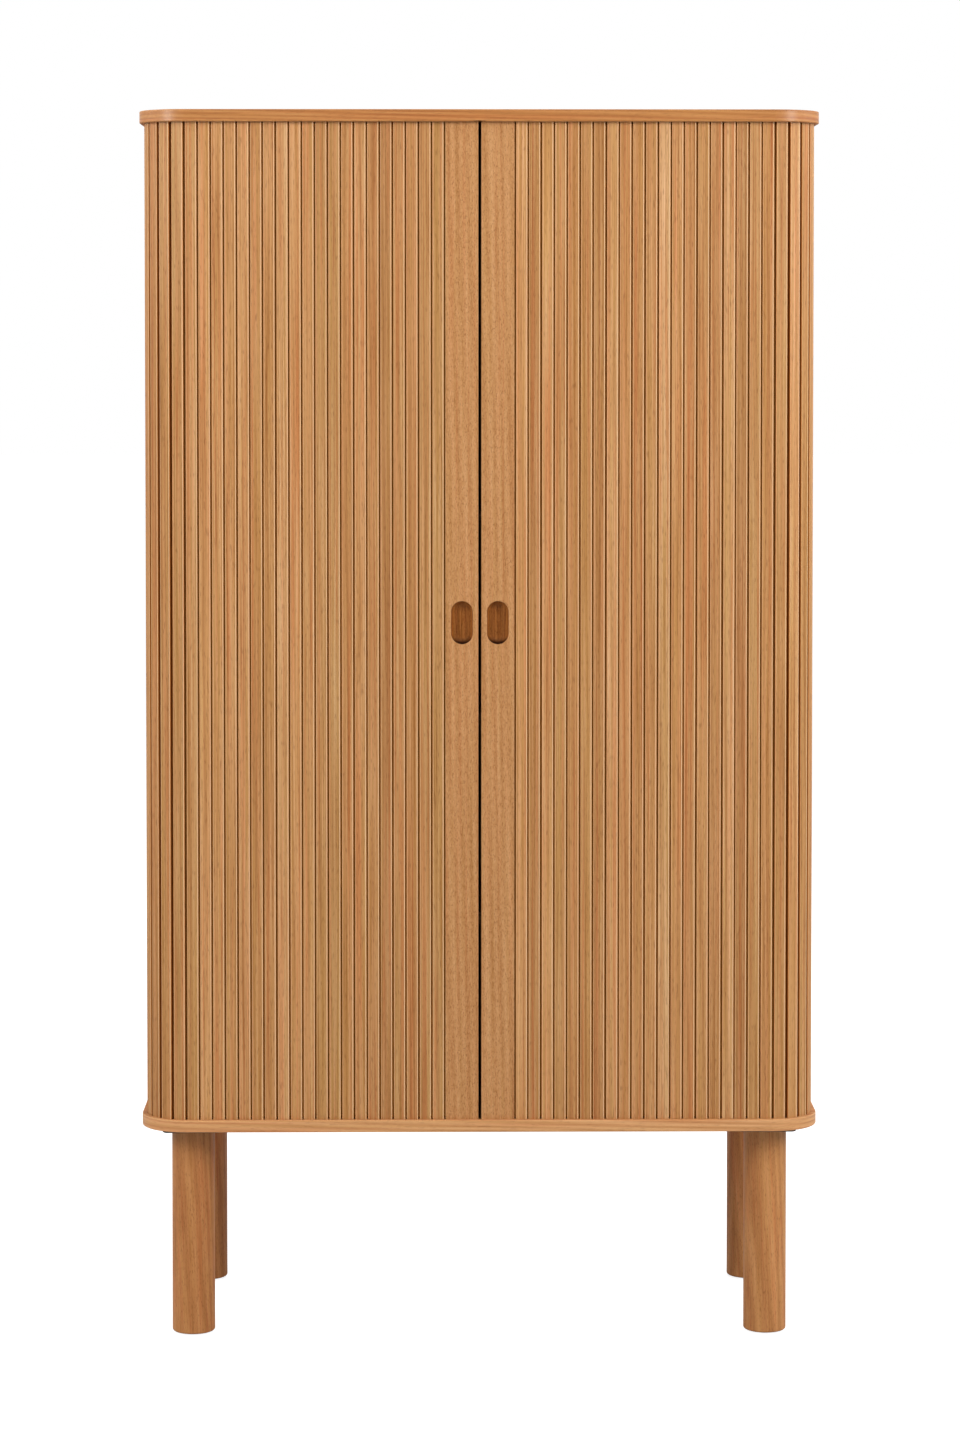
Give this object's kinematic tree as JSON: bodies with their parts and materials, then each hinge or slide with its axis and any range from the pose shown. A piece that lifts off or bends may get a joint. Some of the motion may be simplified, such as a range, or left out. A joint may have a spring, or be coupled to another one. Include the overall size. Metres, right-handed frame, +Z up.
{
  "type": "tambour cabinet",
  "caption": "Tall oak tambour cabinet: slat curtains with oval finger pulls slide sideways round rounded corners, with shelves inside, on round legs.",
  "frame": {"origin": "on the floor under the middle of the cabinet", "axes": "+Z up, +X to the right seen from the front, the curtains' front faces -Y"},
  "size_m": [0.95, 0.45, 1.72],
  "materials": {
    "oak_veneer": "oak veneer, satin lacquer",
    "oak_slats": "oak, satin lacquer",
    "oak_solid": "solid oak, satin lacquer",
    "oak_interior": "oak veneer, matt lacquer",
    "oak_back": "oak veneer on board, matt",
    "beech": "plain beech",
    "canvas": "cotton canvas",
    "black_steel": "black powder coat",
    "plated_steel": "zinc plated",
    "felt": "brown wool felt"
  },
  "bodies": {
    "cabinet": {"top_board": "oak_veneer", "bottom_board": "oak_veneer", "left_inner_side": "oak_interior", "right_inner_side": "oak_interior", "inner_back": "oak_interior", "outer_back": "oak_back", "lower_shelf": "oak_interior", "fixed_shelf": "oak_interior", "middle_shelf": "oak_interior", "upper_shelf": "oak_interior", "shelf_pins": "plated_steel", "carcass_dowels": "beech", "fixed_shelf_dowels": "beech", "back_panel_screws": "plated_steel", "leg_bolts": "plated_steel", "leg_plate_screws": "black_steel", "leg_glides": "felt", "door_stop_screws": "plated_steel", "front_left_leg": "oak_solid", "front_left_leg_plate": "black_steel", "front_right_leg": "oak_solid", "front_right_leg_plate": "black_steel", "rear_left_leg": "oak_solid", "rear_left_leg_plate": "black_steel", "rear_right_leg": "oak_solid", "rear_right_leg_plate": "black_steel", "left_front_corner_slats": "oak_slats", "left_side_slats": "oak_slats", "left_rear_corner_slats": "oak_slats", "left_side_canvas": "canvas", "left_door_stops": "beech", "right_front_corner_slats": "oak_slats", "right_side_slats": "oak_slats", "right_rear_corner_slats": "oak_slats", "right_side_canvas": "canvas", "right_door_stops": "beech"},
    "left_curtain": {"left_lead_stile": "oak_solid", "left_canvas_batten": "beech", "left_front_canvas": "canvas", "left_front_slats_1": "oak_slats", "left_front_slats_2": "oak_slats", "left_front_slats_3": "oak_slats", "left_front_slats_4": "oak_slats"},
    "right_curtain": {"right_lead_stile": "oak_solid", "right_canvas_batten": "beech", "right_front_canvas": "canvas", "right_front_slats_1": "oak_slats", "right_front_slats_2": "oak_slats", "right_front_slats_3": "oak_slats", "right_front_slats_4": "oak_slats"}
  },
  "joints": [
    {"name": "left_curtain_slide", "type": "slide", "parent": "cabinet", "child": "left_curtain", "axis": [-1, 0, 0], "range_m": [0, 0.36], "deforming": ["left_front_canvas", "left_front_slats_1", "left_front_slats_2", "left_front_slats_3", "left_front_slats_4"]},
    {"name": "right_curtain_slide", "type": "slide", "parent": "cabinet", "child": "right_curtain", "axis": [1, 0, 0], "range_m": [0, 0.36], "deforming": ["right_front_canvas", "right_front_slats_1", "right_front_slats_2", "right_front_slats_3", "right_front_slats_4"]}
  ]
}
